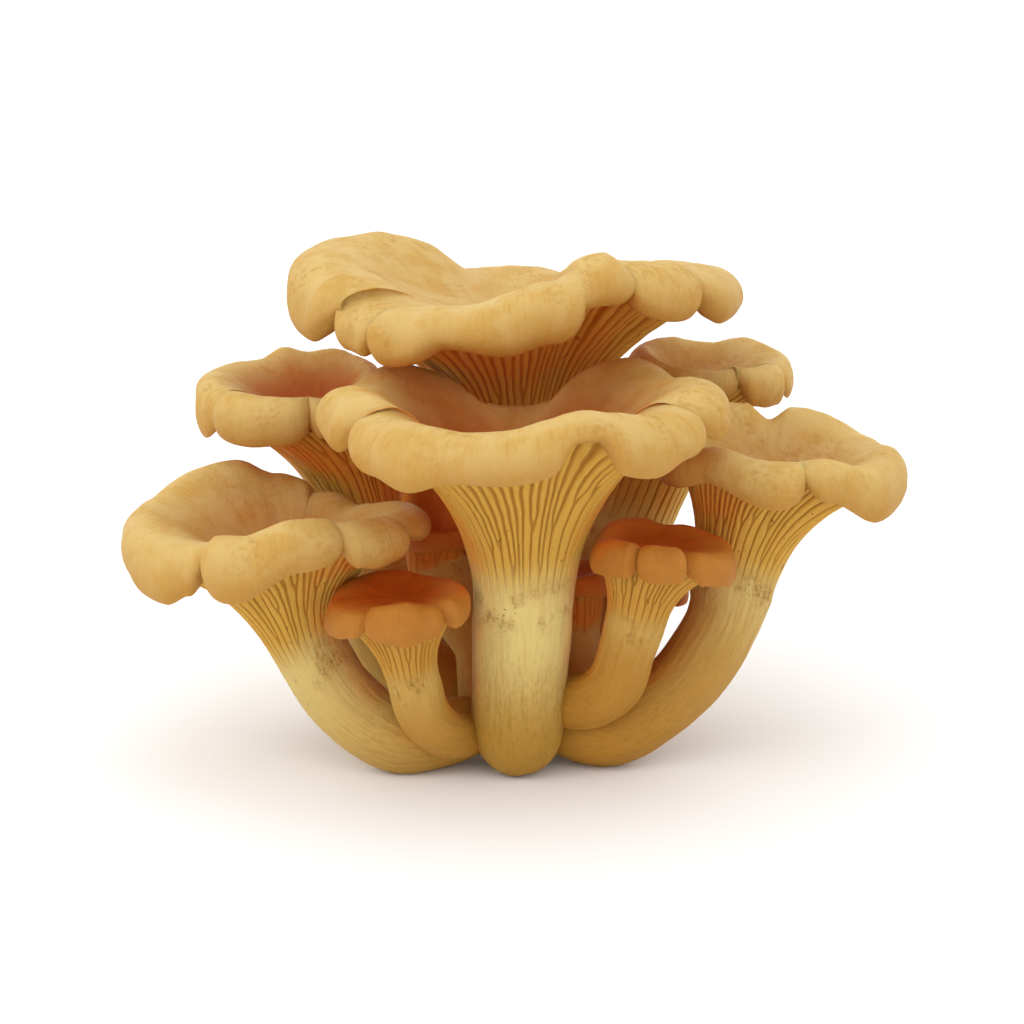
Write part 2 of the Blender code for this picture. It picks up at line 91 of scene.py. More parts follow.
def rimValues(rim, turns):
    # Reach, crest height and edge height of the rim. Lobes swell and dips sink softly. At
    # a fold one lobe ends round and the other rises from it in a slow arch. The round one
    # comes before the row at "foldBefore", after it at "foldAfter", and a "pinch" has two.
    rows = sorted(rim)
    table = np.array([row[:4] for row in rows], float)
    kinds = np.array([row[4] for row in rows])
    fold = ~np.isin(kinds, ["lobe", "dip"])
    spans = (np.roll(table[:, 0], -1) - table[:, 0]) % 360.0
    steps = (np.roll(table[:, 1:], -1, axis=0) - table[:, 1:]) / spans[:, None]
    back = np.roll(steps, 1, axis=0)
    slopes = np.where(back * steps > 0, 2 * back * steps / (back + steps + 1e-12), 0.0)
    slopes[fold | np.roll(fold, 1) | np.roll(fold, -1)] = 0.0
    turns = np.asarray(turns, float) % 360.0
    after = np.searchsorted(table[:, 0], turns, side="right") % len(rows)
    before = (after - 1) % len(rows)
    span = spans[before]
    t = (turns - table[before, 0]) % 360.0 / span

    def bulge(u):
        return np.sqrt(np.clip(1.0 - (1.0 - u) ** 2, 0.0, 1.0))

    def arch(u):
        return 1.0 - smoothStep(np.clip(1.0 - u, 0.0, 1.0) ** 1.1)

    share = smoothStep(t)
    leaves, meets = kinds[before], kinds[after]
    share = np.where(np.isin(leaves, ["foldAfter", "pinch"]), bulge(t), share)
    share = np.where(leaves == "foldBefore", arch(t), share)
    share = np.where(np.isin(meets, ["foldBefore", "pinch"]), 1 - bulge(1 - t), share)
    share = np.where(meets == "foldAfter", 1 - arch(1 - t), share)
    sharp = table[before, 1:] + (table[after, 1:] - table[before, 1:]) * share[:, None]
    t = t[:, None]
    curve = ((2 * t ** 3 - 3 * t ** 2 + 1) * table[before, 1:]
             + (t ** 3 - 2 * t ** 2 + t) * slopes[before] * span[:, None]
             + (3 * t ** 2 - 2 * t ** 3) * table[after, 1:]
             + (t ** 3 - t ** 2) * slopes[after] * span[:, None])
    return np.where((fold[before] | fold[after])[:, None], sharp, curve)


def blurRound(rim, turns, width):
    even = np.arange(0.0, 360.0, 0.5)
    values = rimValues(rim, even)
    weight = np.exp(-0.5 * (turnGap(even, 0.0) / width) ** 2)
    weight /= weight.sum()
    soft = np.fft.irfft(np.fft.rfft(values, axis=0) * np.fft.rfft(weight)[:, None],
                        n=len(even), axis=0)
    return np.column_stack([np.interp(turns % 360.0, even, soft[:, k], period=360.0)
                            for k in range(3)])


def lobeSlide(rim, turns):
    # degrees by which a lobe that ends at a fold slides past the arch beside it
    slide = np.zeros(len(turns))
    for row in rim:
        gap = turnGap(turns, row[0])
        away = np.exp(-(gap / growth["foldReach"]) ** 2) * growth["overlap"]
        if row[4] == "foldAfter":
            slide -= away * np.clip(1.0 + gap / growth["slideStart"], 0.0, 1.0)
        elif row[4] == "foldBefore":
            slide += away * np.clip(1.0 - gap / growth["slideStart"], 0.0, 1.0)
    return slide


def roundTurns(rim, count):
    # angles round the cap, closer together where the rim folds
    fine = np.linspace(0.0, 360.0, 7201)
    density = np.ones(len(fine))
    for row in rim:
        if row[4] not in ("lobe", "dip"):
            density += growth["crowdBy"] * np.exp(
                -(turnGap(fine, row[0]) / growth["crowdReach"]) ** 2)
    total = np.concatenate([[0.0], np.cumsum((density[1:] + density[:-1]) / 2)])
    return np.interp(np.arange(count) / count * total[-1], total, fine)


def stemCurve(rows, step):
    rows = np.array(rows, float)
    padded = np.vstack([2 * rows[0] - rows[1], rows, 2 * rows[-1] - rows[-2]])
    points = []
    for k in range(1, len(padded) - 2):
        a, b, c, d = padded[k - 1:k + 3]
        pieces = max(1, int(round(np.linalg.norm(c[:3] - b[:3]) / step)))
        for t in np.arange(pieces) / pieces:
            points.append(0.5 * (2 * b + (c - a) * t + (2 * a - 5 * b + 4 * c - d) * t ** 2
                                 + (3 * b - a - 3 * c + d) * t ** 3))
    points.append(rows[-1])
    points = np.array(points)
    heading = np.gradient(points[:, :3], axis=0)
    heading /= np.linalg.norm(heading, axis=1)[:, None]
    return points[:, :3], points[:, 3], heading


def stemCircle(centre, radius, heading, turns):
    side = np.array([0.0, 1.0, 0.0]) - heading * heading[1]
    side /= np.linalg.norm(side)
    across = np.cross(side, heading)
    turn = np.radians(turns)[:, None]
    return centre + np.asarray(radius).reshape(-1, 1) * (np.cos(turn) * across
                                                         + np.sin(turn) * side)


def splineThrough(points, count):
    # a smooth curve through the points, with its own ends left out
    points = np.array(points, float)
    padded = np.vstack([2 * points[0] - points[1], points, 2 * points[-1] - points[-2]])
    place = np.linspace(0, len(points) - 1, count + 2)[1:-1]
    k = np.minimum(place.astype(int), len(points) - 2)
    t = (place - k)[:, None]
    a, b, c, d = padded[k], padded[k + 1], padded[k + 2], padded[k + 3]
    return 0.5 * (2 * b + (c - a) * t + (2 * a - 5 * b + 4 * c - d) * t ** 2
                  + (3 * b - a - 3 * c + d) * t ** 3)


def growRings(shape):
    # every ring of a mushroom from foot to throat, as (turns, points, facts), where the
    # facts are the ring's place on the stem, on the funnel and over the cap
    rows = [(*row, "lobe")[:5] for row in shape["rim"]]     # one without a kind is a lobe
    turns = roundTurns(rows, shape["turns"])
    sharp = rimValues(rows, turns)
    soft = blurRound(rows, turns, growth["blur"])
    slide = lobeSlide(rows, turns)
    middleOfCap = np.array(shape["centre"], float)
    underRim = shape.get("underRim", growth["underRim"])

    def rimPoints(values, slideShare, out, up):
        turn = np.radians(turns + slide * slideShare)
        reach, crest, edge = values.T
        return np.column_stack([middleOfCap[0] + reach * out * np.cos(turn),
                                middleOfCap[1] + reach * out * np.sin(turn),
                                edge + (crest - edge) * up])

    centres, radii, heading = stemCurve(shape["stem"], shape["stemStep"])
    travelled = np.concatenate([[0.0], np.cumsum(np.linalg.norm(np.diff(centres, axis=0),
                                                                axis=1))])
    rings = []
    start, way = centres[0], heading[0]
    if shape["standing"]:
        profile = np.array(growth["footProfile"]) * [shape["footRound"], 1.0]
        sizes = np.interp(travelled, profile[:, 0], profile[:, 1]) * radii
        for up in (0.0, 0.12, 0.4, 0.8):
            size = np.interp(up * shape["footRound"], profile[:, 0], profile[:, 1])
            rings.append((start + way * up * shape["footRound"], size * radii[0], way,
                          up / travelled[-1]))
        first = 1
    else:
        sizes = radii.copy()
        for share, down in ((0.3, -0.4), (0.62, -0.3), (0.88, -0.14)):
            rings.append((start + way * radii[0] * down, radii[0] * share, way, 0.0))
        first = 0
    for k in range(first, len(centres) - 1):
        rings.append((centres[k], sizes[k], heading[k], travelled[k] / travelled[-1]))
    grown = [(stemCircle(centre, size, to, turns), (place, 0.0, 0.0))
             for centre, size, to, place in rings]

    neck = stemCircle(centres[-1], radii[-1], heading[-1], turns)
    for t in np.linspace(0.0, 1.0, shape["funnelRings"]) ** 0.92:
        firmness = t ** 3
        rim = rimPoints(soft + (sharp - soft) * firmness, firmness ** 2, *underRim)
        rise = (rim[:, 2] - neck[:, 2])[:, None]
        low = neck + heading[-1] * growth["neckHandle"] * rise
        high = neck + (rim - neck) * [growth["flareOut"], growth["flareOut"],
                                      growth["flareUp"]]
        u = 1.0 - t
        grown.append((u ** 3 * neck + 3 * u * u * t * low + 3 * u * t * t * high
                      + t ** 3 * rim, (1.0, t, 0.0)))

    rollPath = [underRim, *growth["roll"], (growth["crestShare"], 1.0)]
    rollPlaces = splineThrough(rollPath, shape["rollRings"])
    for k, (out, up) in enumerate(rollPlaces):
        place = (k + 1) / (len(rollPlaces) + 1)
        grown.append((rimPoints(sharp, 1.0, out, up), (1.0, 1.0 + place, place)))

    neckXY = np.array(shape["stem"][-1][:2], float)
    throat = np.array([*(middleOfCap + (neckXY - middleOfCap) * growth["throatLean"]),
                       shape["throat"]])
    for share in np.linspace(1.0, 0.0, shape["topRings"], endpoint=False) ** 0.9:
        firmness = smoothStep((share - 0.58) / 0.42)
        crest = rimPoints(soft + (sharp - soft) * firmness, firmness,
                          growth["crestShare"], 1.0)
        ring = throat + (crest - throat) * share
        lift = (1.0 - math.cos(math.pi * share ** growth["dishPower"])) / 2
        ring[:, 2] = throat[2] + (crest[:, 2] - throat[2]) * lift
        grown.append((ring, (1.0, 2.0, 2.0 - share)))
    return turns, grown, throat


def pressDents(shape, turns, points, capPlaces):
    # soft hollows and creases pressed into the cap: (turn, place over the rim, depth,
    # half width in degrees, half width over the rim)
    for turn, place, depth, wide, tall in shape.get("dents", []):
        gap = turnGap(turns, turn)[None, :] / wide
        away = (capPlaces[:, None] - place) / tall
        weight = np.exp(-gap ** 2 - away ** 2) * (capPlaces[:, None] > 0)
        points = points - outwardOf(points) * (weight * depth)[:, :, None]
    return points


def ringFaces(counts):
    # quads between rings of equal count, and fans where the count halves or doubles
    faces = []
    start = 0
    for a, b in zip(counts, counts[1:]):
        low = start + np.arange(a)
        high = start + a + np.arange(b)
        lowNext, highNext = np.roll(low, -1), np.roll(high, -1)
        if a == b:
            faces += np.column_stack([low, lowNext, highNext, high]).tolist()
        elif a > b:
            faces += np.column_stack([low[::2], low[1::2], high]).tolist()
            faces += np.column_stack([low[1::2], np.roll(low[::2], -1), highNext,
                                      high]).tolist()
        else:
            faces += np.column_stack([low, high[1::2], high[::2]]).tolist()
            faces += np.column_stack([low, lowNext, np.roll(high[::2], -1),
                                      high[1::2]]).tolist()
        start += a
    return faces


def outwardOf(points):
    around = np.roll(points, -1, axis=1) - np.roll(points, 1, axis=1)
    along = np.gradient(points, axis=0)
    outward = np.cross(around, along)
    return outward / (np.linalg.norm(outward, axis=2)[:, :, None] + 1e-9)


cluster = []        # mushrooms planted so far, as rings of points


def plant(name, node, shape, material, slot):
    turns, grown, throat = growRings(shape)
    points = np.array([ring for ring, facts in grown])
    facts = np.array([fact for ring, fact in grown])
    points = pressDents(shape, turns, points, facts[:, 2])
    points[:, :, 2] = np.maximum(points[:, :, 2], 0.0)
    cluster.append(dict(name=name, node=node, shape=shape, material=material, slot=slot,
                        turns=turns, points=points, facts=facts, throat=throat))


def shadeCluster():
    # how far neighbours and the mushroom itself close in on each place, from 0 in the open
    # to 1 deep inside, for the painted shade: rays sent out all round each sample, near
    # hits count most
    trees = []
    for one in cluster:
        rings = one["points"][::shading["meshRows"], ::shading["columns"]]
        corners = rings.reshape(-1, 3).tolist()
        row = rings.shape[1]
        faces = [(k * row + j, k * row + (j + 1) % row, (k + 1) * row + (j + 1) % row,
                  (k + 1) * row + j)
                 for k in range(rings.shape[0] - 1) for j in range(row)]
        trees.append(BVHTree.FromPolygons(corners, faces))
    spread = []
    for k in range(shading["rays"]):
        rise = math.sqrt((k + 0.5) / shading["rays"])
        turn = k * shading["goldenAngle"]
        spread.append((math.cos(turn) * rise, math.sin(turn) * rise,
                       math.sqrt(1.0 - rise * rise)))
    spread = np.array(spread)
    touchFrom, touchTo = shading["touching"]
    for one in cluster:
        points = one["points"]
        rows = np.unique(np.r_[0:len(points):shading["rows"], len(points) - 1])
        cols = np.arange(0, points.shape[1], shading["columns"])
        spots = points[np.ix_(rows, cols)]
        outward = outwardOf(points)[np.ix_(rows, cols)]
        shade = np.zeros(spots.shape[:2])
        for i in range(len(rows)):
            for j in range(len(cols)):
                way = outward[i, j]
                side = np.cross(way, [0.3, 0.5, 0.81])
                side /= np.linalg.norm(side)
                rays = (spread[:, :1] * side + spread[:, 1:2] * np.cross(way, side)
                        + spread[:, 2:] * way)
                start = Vector((spots[i, j] + way * shading["standOff"]).tolist())
                for ray in rays.tolist():
                    near = shading["reach"]
                    for tree in trees:
                        away = tree.ray_cast(start, ray, near)[3]
                        if away is not None:
                            near = away
                    apart = smoothStep((near - touchFrom) / (touchTo - touchFrom))
                    shade[i, j] += (1.0 - near / shading["reach"]) * apart
        shade /= shading["rays"]
        ringed = np.concatenate([shade, shade[:, :1]], axis=1)
        colPlaces = np.append(cols, points.shape[1])
        wide = np.array([np.interp(np.arange(points.shape[1]), colPlaces, line)
                         for line in ringed])
        one["shade"] = np.array([np.interp(np.arange(len(points)), rows, wide[:, j])
                                 for j in range(wide.shape[1])]).T


def buildBody(one):
    name, shape, turns = one["name"], one["shape"], one["turns"]
    points, facts, throat, shade = one["points"], one["facts"], one["throat"], one["shade"]
    middles = points.mean(axis=1, keepdims=True)
    radii = np.linalg.norm(points - middles, axis=2)
    lengths = np.linalg.norm(np.diff(points, axis=0), axis=2).mean(axis=1)
    travelled = np.concatenate([[0.0], np.cumsum(lengths)])
    spacing = radii * 2 * math.pi / shape["ridges"]
    ridgeSize = np.minimum(spacing * growth["ridgeShare"], shape["ridgeLimit"])

    # ridges need every point round; stem, dish and throat get by with fewer
    thinning = np.full(len(points), 2)
    thinning[(facts[:, 1] > 0.0) & (facts[:, 2] < 1.12)] = 1
    thinning[facts[:, 2] > 1.62] = 4
    thinning[facts[:, 2] > 1.86] = 8
    thinning[0] = 8
    thinning[1:3] = 4

    poles = dict(stemPlace=(0.0, 1.0), funnelPlace=(0.0, 2.0), capPlace=(0.0, 2.0),
                 ridgePhase=(0.0, 0.0), ridgeSize=(0.0, 0.0),
                 shade=(shade[0].mean(), shade[-1].mean()),
                 stain=(shape["stain"],) * 2, throatShade=(shape["throatShade"],) * 2)
    columns = {key: [] for key in poles}
    fibre, verts, counts = [], [], []
    for k, ring in enumerate(points):
        pick = slice(None, None, thinning[k])
        count = len(turns[pick])
        counts.append(count)
        verts.append(ring[pick])
        turn = np.radians(turns[pick])
        fibre.append(np.column_stack([np.cos(turn), np.sin(turn),
                                      np.full(count, travelled[k] * mm)]))
        values = dict(stemPlace=facts[k, 0], funnelPlace=facts[k, 1], capPlace=facts[k, 2],
                      ridgePhase=turns[pick] / 360.0 * shape["ridges"],
                      ridgeSize=ridgeSize[k][pick] * mm, shade=shade[k][pick],
                      stain=shape["stain"], throatShade=shape["throatShade"])
        for key, value in values.items():
            columns[key].append(np.broadcast_to(value, count))
    faces = ringFaces(counts)
    total = sum(counts)
    verts.append(points[0].mean(axis=0)[None, :])
    verts.append(throat[None, :])
    faces += [(int((k + 1) % counts[0]), k, total) for k in range(counts[0])]
    last = total - counts[-1]
    faces += [(last + k, last + int((k + 1) % counts[-1]), total + 1)
              for k in range(counts[-1])]
    fibre.append(np.array([[0.0, 0.0, 0.0], [0.0, 0.0, travelled[-1] * mm]]))

    mesh = bpy.data.meshes.new(name + "Body")
    mesh.from_pydata(((np.concatenate(verts) - middle) * mm).tolist(), [], faces)
    for key, values in columns.items():
        values.append(np.array(poles[key]))
        layer = mesh.attributes.new(key, "FLOAT", "POINT")
        layer.data.foreach_set("value", np.concatenate(values).astype(np.float32))
    layer = mesh.attributes.new("fibre", "FLOAT_VECTOR", "POINT")
    layer.data.foreach_set("vector", np.concatenate(fibre).astype(np.float32).ravel())
    mesh.shade_smooth()
    body = bpy.data.objects.new(name + "Body", mesh)
    bpy.context.scene.collection.objects.link(body)
    return body


# Kinds of node that the trees use most: Blender's name, settings, and where the given
# values go in and the result comes out.
nodeKinds = dict(
    plus=("ShaderNodeMath", {"operation": "ADD"}, (0, 1), 0),
    minus=("ShaderNodeMath", {"operation": "SUBTRACT"}, (0, 1), 0),
    times=("ShaderNodeMath", {"operation": "MULTIPLY"}, (0, 1), 0),
    timesPlus=("ShaderNodeMath", {"operation": "MULTIPLY_ADD"}, (0, 1, 2), 0),
    smaller=("ShaderNodeMath", {"operation": "MINIMUM"}, (0, 1), 0),
    larger=("ShaderNodeMath", {"operation": "MAXIMUM"}, (0, 1), 0),
    below=("ShaderNodeMath", {"operation": "LESS_THAN"}, (0, 1), 0),
    above=("ShaderNodeMath", {"operation": "GREATER_THAN"}, (0, 1), 0),
    modulo=("ShaderNodeMath", {"operation": "FLOORED_MODULO"}, (0, 1), 0),
    floor=("ShaderNodeMath", {"operation": "FLOOR"}, (0,), 0),
    size=("ShaderNodeMath", {"operation": "ABSOLUTE"}, (0,), 0),
    sign=("ShaderNodeMath", {"operation": "SIGN"}, (0,), 0),
    ramp=("ShaderNodeMapRange", {"interpolation_type": "SMOOTHSTEP"}, (0, 1, 2, 3, 4), 0),
    blend=("ShaderNodeMix", {"data_type": "FLOAT"}, (0, 2, 3), 0),
    tint=("ShaderNodeMix", {"data_type": "RGBA"}, (0, 6, 7), 2),
    chance=("FunctionNodeRandomValue", {"data_type": "FLOAT"}, ("ID", "Seed", 2, 3), 1),
    stretch=("ShaderNodeVectorMath", {"operation": "MULTIPLY"}, (0, 1), 0),
    scale=("ShaderNodeVectorMath", {"operation": "SCALE"}, (0, "Scale"), 0),
    store=("GeometryNodeStoreNamedAttribute", {"data_type": "FLOAT"},
           ("Geometry", "Name", "Value"), 0),
)


def addNode(tree, kind, *values, settings=None, inputs=None, out=None):
    # adds a node with its settings and links, and gives back one of its outputs
    kind, usual, places, result = nodeKinds.get(kind, (kind, {}, (), 0))
    node = tree.nodes.new(kind)
    for key, value in {**usual, **(settings or {})}.items():
        setattr(node, key, value)
    for key, value in {**dict(zip(places, values)), **(inputs or {})}.items():
        if isinstance(value, bpy.types.NodeSocket):
            tree.links.new(value, node.inputs[key])
        else:
            node.inputs[key].default_value = value
    return node.outputs[result if out is None else out]


# Relief of the flesh. Noises have a stretch round and along the mushroom, a detail and a
# seed of their own; shares of the funnel count from its root.
relief = dict(
    noises=dict(
        sway=((2.6, 2.6, 45.0), 1.0, 3.7), wobble=((9.0, 9.0, 240.0), 1.0, 8.3),
        uneven=((7.0, 7.0, 210.0), 2.0, 6.1), ragged=((6.0, 6.0, 60.0), 1.0, 4.4),
        waves=((3.2, 3.2, 60.0), 1.0, 1.3), lumps=((7.0, 7.0, 190.0), 2.0, 7.1),
        dimples=((1.7, 1.7, 75.0), 2.0, 5.9), strands=((10.0, 10.0, 130.0), 2.0, 9.5),
        patch=((1.7, 1.7, 130.0), 1.0, 2.2)),
    swayBy=0.9, wobbleBy=0.5,                   # in ridges, from side to side
    chances=dict(missing=11.0, end=37.0, side=41.0, joins=43.0, lean=59.0, own=67.0),
    shortShare=0.9,                             # of the odd ridges, those that show
    scaleSize=0.17, scaleDensity=1.4,           # mm, and how many on a square mm
    endSpread=0.60, fadeLength=0.16, joinShare=0.55, joinLength=0.30, joinBy=0.38,
    leanBy=0.30, strengthFrom=0.70, strengthSpread=0.35, goneBy=1.3, grooveWidth=0.78,
    unevenBy=0.6, raggedBy=0.16, rise=0.22, sinkShare=0.5,
    lumpBy=0.9, waveBy=2.0, strandBy=0.00028, dimpleBy=0.0013,
    flakeShape=(0.8, 1.1, 0.3), flakeFrom=0.45, flakeTo=1.2, flakeSeed=83.0,
)


def fleshTree():
    # Geometry Nodes that raise forking ridges on the funnel, give the skin its waves, and
    # scatter small brown scales where the ridges end. Sizes are in metres.
    tree = bpy.data.node_groups.new("fleshRelief", "GeometryNodeTree")
    face = tree.interface
    face.new_socket("Geometry", in_out="INPUT", socket_type="NodeSocketGeometry")
    for name, default in (("Ridges", 40.0), ("Short Share", 0.9),
                          ("Wrinkle Depth", 0.0004), ("Scale Size", 0.0002),
                          ("Scale Density", 4000000.0)):
        socket = face.new_socket(name, in_out="INPUT", socket_type="NodeSocketFloat")
        socket.default_value = default
    face.new_socket("Seed", in_out="INPUT", socket_type="NodeSocketInt")
    face.new_socket("Flesh", in_out="INPUT", socket_type="NodeSocketMaterial")
    face.new_socket("Geometry", in_out="OUTPUT", socket_type="NodeSocketGeometry")
    given = tree.nodes.new("NodeGroupInput").outputs
    add = partial(addNode, tree)

    fibre, funnel, stem, ridgePhase, ridgeSize = [
        add("GeometryNodeInputNamedAttribute", settings={"data_type": kind},
            inputs={"Name": name})
        for name, kind in (("fibre", "FLOAT_VECTOR"), ("funnelPlace", "FLOAT"),
                           ("stemPlace", "FLOAT"), ("ridgePhase", "FLOAT"),
                           ("ridgeSize", "FLOAT"))]
    noise = {}
    for name, (stretch, detail, offset) in relief["noises"].items():
        noise[name] = add("ShaderNodeTexNoise", settings={"noise_dimensions": "4D"},
                          inputs={"Vector": add("stretch", fibre, stretch),
                                  "W": add("plus", given["Seed"], offset),
                                  "Scale": 1.0, "Detail": detail, "Roughness": 0.5})

    # Ridges: even ones run all the way down, odd ones end part of the way, often by
    # running into the ridge beside them. A thin groove lies half way between each ridge
    # and the next, so that neighbours widen where one ends.
    sway = add("timesPlus", noise["sway"], relief["swayBy"], -relief["swayBy"] / 2)
    wobble = add("timesPlus", noise["wobble"], relief["wobbleBy"], -relief["wobbleBy"] / 2)
    phase = add("plus", ridgePhase, add("plus", sway, wobble))
    middleCell = add("floor", add("plus", phase, 0.5))
    nearest, second, strength = 9.0, 9.0, 1.0
    for step in (-1.0, 0.0, 1.0):
        cell = add("plus", middleCell, step)
        number = add("modulo", cell, given["Ridges"])
        luck = {name: add("chance", number, add("plus", given["Seed"], offset), 0.0, 1.0)
                for name, offset in relief["chances"].items()}
        short = add("modulo", number, 2.0)
        missing = add("above", luck["missing"], given["Short Share"])
        end = add("timesPlus", luck["end"], relief["endSpread"], missing)
        gone = add("times", short,
                   add("ramp", funnel, add("plus", end, relief["fadeLength"]), end))
        side = add("times", add("sign", add("minus", luck["side"], 0.5)),
                   add("below", luck["joins"], relief["joinShare"]))
        nearEnd = add("ramp", funnel, add("plus", end, relief["joinLength"]), end)
        bend = add("times", side,
                   add("times", add("times", nearEnd, short), relief["joinBy"]))
        lean = add("timesPlus", luck["lean"], relief["leanBy"], -relief["leanBy"] / 2)
        centre = add("plus", cell, add("plus", lean, bend))
        distance = add("timesPlus", gone, relief["goneBy"],
                       add("size", add("minus", phase, centre)))
        own = add("timesPlus", luck["own"], relief["strengthSpread"],
                  relief["strengthFrom"])
        strength = add("blend", add("below", distance, nearest), strength, own)
        second = add("smaller", second, add("larger", nearest, distance))
        nearest = add("smaller", nearest, distance)
    bump = add("ramp", add("minus", second, nearest), 0.0, relief["grooveWidth"])
    uneven = add("timesPlus", noise["uneven"], relief["unevenBy"],
                 1.0 - relief["unevenBy"] / 2)
    ragged = add("timesPlus", noise["ragged"], relief["raggedBy"],
                 -relief["raggedBy"] / 2)
    underside = add("times", add("ramp", funnel, 1.24, 1.06),
                    add("ramp", add("plus", funnel, ragged), 0.0, relief["rise"]))
    raised = add("times", add("times", bump, strength), add("times", underside, uneven))
    lift = add("times", add("minus", raised, add("times", underside, relief["sinkShare"])),
               add("times", ridgeSize, 2.0))

    # Skin: broad waves and soft lumps over cap and rim, dimples down the stem.
    lumps, waves, strands, dimples = [add("minus", noise[name], 0.5) for name in
                                      ("lumps", "waves", "strands", "dimples")]
    onCap = add("times", add("ramp", funnel, 1.15, 1.5), given["Wrinkle Depth"])
    capSkin = add("times", onCap, add("timesPlus", lumps, relief["lumpBy"],
                                      add("times", waves, relief["waveBy"])))
    onStem = add("ramp", funnel, 0.25, 0.0)
    stemSkin = add("times", onStem, add("timesPlus", strands, relief["strandBy"],
                                        add("times", dimples, relief["dimpleBy"])))
    height = add("plus", lift, add("plus", capSkin, stemSkin))
    stored = add("store", given["Geometry"], "ridge", raised)
    body = add("GeometryNodeSetPosition", inputs={
        "Geometry": stored,
        "Offset": add("scale", add("GeometryNodeInputNormal"), height)})

    # Scales: tiny flat flakes in a few ragged patches just under the ridges.
    band = add("times", add("ramp", stem, 0.86, 0.96), add("ramp", funnel, 0.14, 0.03))
    patch = add("ramp", noise["patch"], 0.57, 0.66)
    points = add("GeometryNodeDistributePointsOnFaces", inputs={
        "Mesh": body, "Seed": given["Seed"],
        "Density": add("times", add("times", band, patch), given["Scale Density"])})
    flake = add("GeometryNodeMeshIcoSphere", inputs={"Radius": 1.0, "Subdivisions": 1})
    grain = add("FunctionNodeRandomValue", settings={"data_type": "FLOAT"}, out=1,
                inputs={2: relief["flakeFrom"], 3: relief["flakeTo"],
                        "Seed": add("plus", given["Seed"], relief["flakeSeed"])})
    size = add("scale", relief["flakeShape"], add("times", grain, given["Scale Size"]))
    flakes = add("GeometryNodeInstanceOnPoints", inputs={
        "Points": points, "Instance": flake, "Scale": size,
        "Rotation": points.node.outputs["Rotation"]})
    flakes = add("GeometryNodeRealizeInstances", inputs={"Geometry": flakes})
    flakes = add("store", flakes, "fleck", 1.0)
    joined = add("GeometryNodeJoinGeometry", inputs={"Geometry": flakes})
    tree.links.new(body, joined.node.inputs["Geometry"])
    whole = add("GeometryNodeRealizeInstances", inputs={"Geometry": joined})
    smooth = add("GeometryNodeSetShadeSmooth", inputs={"Geometry": whole,
                                                       "Shade Smooth": True})
    dressed = add("GeometryNodeSetMaterial", inputs={"Geometry": smooth,
                                                     "Material": given["Flesh"]})
    result = tree.nodes.new("NodeGroupOutput")
    tree.links.new(dressed, result.inputs[0])
    return tree


def hexColour(text):
    values = [int(text[k:k + 2], 16) / 255 for k in (1, 3, 5)]
    return (*[c / 12.92 if c <= 0.04045 else ((c + 0.055) / 1.055) ** 2.4
              for c in values], 1.0)


# Patterns of the skin: what each follows, its stretch in steps a metre, its detail and
# its own offset. The finest would be 0.3 mm on the real skin, and is drawn at twice that.
skinNoises = dict(
    blotch=("place", (95.0, 95.0, 95.0), 2.0, 3.0),         # 10 mm across
    broad=("place", (130.0, 130.0, 130.0), 3.0, 0.0),       # 8 mm
    hair=("fibre", (75.0, 75.0, 190.0), 3.0, 1.0),          # 75 hairs in a radian
    smudge=("place", (760.0, 760.0, 760.0), 3.0, 31.0),     # 1.3 mm
    fine=("fibre", (60.0, 60.0, 160.0), 2.0, 7.0),
    pits=("place", (520.0, 520.0, 300.0), 1.0, 41.0),       # 2 mm apart, few and small
    stemStreak=("fibre", (9.0, 9.0, 120.0), 2.0, 11.0),
    mottle=("fibre", (14.0, 14.0, 520.0), 3.0, 17.0),
    patch=("fibre", (1.9, 1.9, 150.0), 2.0, 23.0),
    dots=("place", (1500.0, 1500.0, 1100.0), 1.0, 29.0),    # 0.7 mm
    grain=("place", (1700.0, 1700.0, 1700.0), 2.0, 1.0),    # 0.6 mm
)


